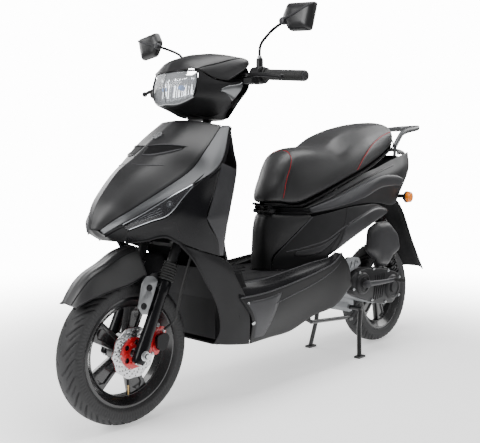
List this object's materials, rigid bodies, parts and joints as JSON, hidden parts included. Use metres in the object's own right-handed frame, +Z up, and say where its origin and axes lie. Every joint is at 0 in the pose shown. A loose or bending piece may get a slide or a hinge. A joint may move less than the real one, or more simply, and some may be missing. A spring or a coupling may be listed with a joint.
{
  "type": "moped scooter",
  "caption": "Step-through moped scooter with raked telescopic fork, front disc brake, swinging engine unit, two-level seat and folding stands.",
  "frame": {"origin": "on the ground, under the middle of the scooter's overall length and width", "axes": "+X forward, +Y to the rider's left, +Z up"},
  "size_m": [1.914, 0.8, 1.226],
  "materials": {
    "frame_black": "satin",
    "satin_black": "satin",
    "trim_grey": "satin",
    "cowl_grey": "satin",
    "gloss_black": "gloss",
    "grain_black": "textured",
    "smoked_lens": "gloss",
    "clear_lens": "gloss",
    "red_lens": "gloss",
    "amber_lens": "gloss",
    "reflector": "polished",
    "mirror_shell": "satin",
    "grip_rubber": "matte",
    "tyre_rubber": "matte",
    "rim_black": "gloss",
    "cast_alloy": "cast",
    "disc_steel": "brushed",
    "bright_steel": "satin",
    "caliper_red": "gloss",
    "seat_vinyl": "grained",
    "tank_plastic": "satin",
    "rail_grey": "satin"
  },
  "bodies": {
    "chassis": {"main_frame": "frame_black", "nose_shield": "satin_black", "nose_trim": "trim_grey", "front_indicators": "smoked_lens", "leg_panel_left": "gloss_black", "leg_panel_right": "gloss_black", "leg_shield": "grain_black", "wheel_well": "grain_black", "lower_cowl_left": "cowl_grey", "lower_cowl_right": "cowl_grey", "side_skirt_left": "gloss_black", "side_skirt_right": "gloss_black", "floorboard": "grain_black", "under_seat_cover": "satin_black", "body_side_left": "satin_black", "body_side_right": "satin_black", "tail_panel_left": "satin_black", "tail_panel_right": "satin_black", "tail_lamp": "red_lens", "rear_mudguard": "grain_black", "rear_indicators": "amber_lens", "grab_rail": "rail_grey", "helmet_box": "tank_plastic", "fuel_tank": "tank_plastic", "battery": "tank_plastic"},
    "steering": {"fork_yoke": "frame_black", "handlebar": "frame_black", "headlamp_unit": "reflector", "headlamp_lens": "clear_lens", "bar_cover": "satin_black", "left_grip": "grip_rubber", "switch_pods": "grain_black"},
    "start_button": {"starter_button": "gloss_black"},
    "throttle": {"throttle_grip": "grip_rubber"},
    "lever_left": {"brake_lever_left": "frame_black"},
    "lever_right": {"brake_lever_right": "frame_black"},
    "mirror_l": {"mirror_left": "mirror_shell"},
    "mirror_r": {"mirror_right": "mirror_shell"},
    "fork_slider": {"fork_lowers": "frame_black", "front_fender": "cowl_grey", "brake_caliper": "caliper_red", "brake_hose": "grip_rubber", "front_axle": "bright_steel"},
    "front_wheel": {"front_rim": "rim_black", "front_tyre": "tyre_rubber", "brake_disc": "disc_steel"},
    "seat": {"seat_base": "grain_black", "seat_cushion": "seat_vinyl"},
    "swing_unit": {"crankcase": "cast_alloy", "cvt_cover": "grain_black", "air_filter": "cowl_grey", "engine_cylinder": "cast_alloy", "muffler": "frame_black"},
    "kick": {"kick_lever": "bright_steel"},
    "rear_wheel": {"rear_rim": "rim_black", "rear_tyre": "tyre_rubber"},
    "shock_upper": {"shock_body": "frame_black"},
    "shock_lower": {"shock_rod": "frame_black"},
    "centre_stand": {"centre_stand": "frame_black"},
    "side_stand": {"side_stand": "frame_black"}
  },
  "joints": [
    {"name": "steer", "type": "hinge", "parent": "chassis", "child": "steering", "pos_m": [0.49431, 0, 0.7], "axis": [-0.4226, 0, 0.9063], "range_deg": [-38, 38]},
    {"name": "fork_travel", "type": "slide", "parent": "steering", "child": "fork_slider", "axis": [-0.4226, 0, 0.9063], "range_m": [0, 0.045], "stiffness_N_per_m": 9000, "springref_m": -0.09},
    {"name": "front_wheel_spin", "type": "hinge", "parent": "fork_slider", "child": "front_wheel", "pos_m": [0.743, 0, 0.214], "axis": [0, 1, 0], "continuous": true},
    {"name": "starter_press", "type": "slide", "parent": "steering", "child": "start_button", "axis": [1, 0, 0], "range_m": [0, 0.003], "stiffness_N_per_m": 600, "springref_m": -0.004},
    {"name": "throttle_turn", "type": "hinge", "parent": "steering", "child": "throttle", "pos_m": [0.33903, -0.192, 1.031], "axis": [0, -0.9925, -0.1219], "range_deg": [0, 70], "stiffness_Nm_per_rad": 0.4, "springref_deg": -28.65},
    {"name": "lever_left_pull", "type": "hinge", "parent": "steering", "child": "lever_left", "pos_m": [0.38503, 0.162, 1.025], "axis": [0, 0, 1], "range_deg": [0, 15], "stiffness_Nm_per_rad": 4, "springref_deg": -22.92},
    {"name": "lever_right_pull", "type": "hinge", "parent": "steering", "child": "lever_right", "pos_m": [0.38503, -0.162, 1.025], "axis": [0, 0, -1], "range_deg": [0, 15], "stiffness_Nm_per_rad": 4, "springref_deg": -22.92},
    {"name": "mirror_left_turn", "type": "hinge", "parent": "steering", "child": "mirror_l", "pos_m": [0.34903, 0.176, 1.073], "axis": [0, 0, 1], "range_deg": [-25, 15]},
    {"name": "mirror_right_turn", "type": "hinge", "parent": "steering", "child": "mirror_r", "pos_m": [0.34903, -0.176, 1.073], "axis": [0, 0, 1], "range_deg": [-15, 25]},
    {"name": "seat_lift", "type": "hinge", "parent": "chassis", "child": "seat", "pos_m": [0.131, 0, 0.596], "axis": [0, 1, 0], "range_deg": [0, 55]},
    {"name": "engine_swing", "type": "hinge", "parent": "chassis", "child": "swing_unit", "pos_m": [-0.162, 0, 0.318], "axis": [0, 1, 0], "range_deg": [0, 7], "stiffness_Nm_per_rad": 3000, "springref_deg": -8.59},
    {"name": "rear_wheel_spin", "type": "hinge", "parent": "swing_unit", "child": "rear_wheel", "pos_m": [-0.621, 0, 0.214], "axis": [0, 1, 0], "continuous": true},
    {"name": "kick_start", "type": "hinge", "parent": "swing_unit", "child": "kick", "pos_m": [-0.267, 0.172, 0.308], "axis": [0, 1, 0], "range_deg": [-45, 0], "stiffness_Nm_per_rad": 3, "springref_deg": 85.94},
    {"name": "centre_stand_fold", "type": "hinge", "parent": "swing_unit", "child": "centre_stand", "pos_m": [-0.347, 0, 0.19], "axis": [0, 1, 0], "range_deg": [0, 76]},
    {"name": "side_stand_fold", "type": "hinge", "parent": "chassis", "child": "side_stand", "pos_m": [0.053, 0.126, 0.214], "axis": [-0.3489, 0.9371, 0], "range_deg": [-95, 0], "stiffness_Nm_per_rad": 1.5, "springref_deg": 171.89},
    {"name": "shock_tilt", "type": "hinge", "parent": "chassis", "child": "shock_upper", "pos_m": [-0.492, 0.088, 0.575], "axis": [0, 1, 0], "range_deg": [0, 6.5]},
    {"name": "shock_slide", "type": "slide", "parent": "shock_upper", "child": "shock_lower", "axis": [0.4322, 0, 0.9018], "range_m": [0, 0.054]}
  ],
  "couplings": [
    {"joint": "shock_tilt", "follows": "engine_swing", "ratio": 0.78432},
    {"joint": "shock_slide", "follows": "engine_swing", "m_per_rad": 0.41224}
  ]
}
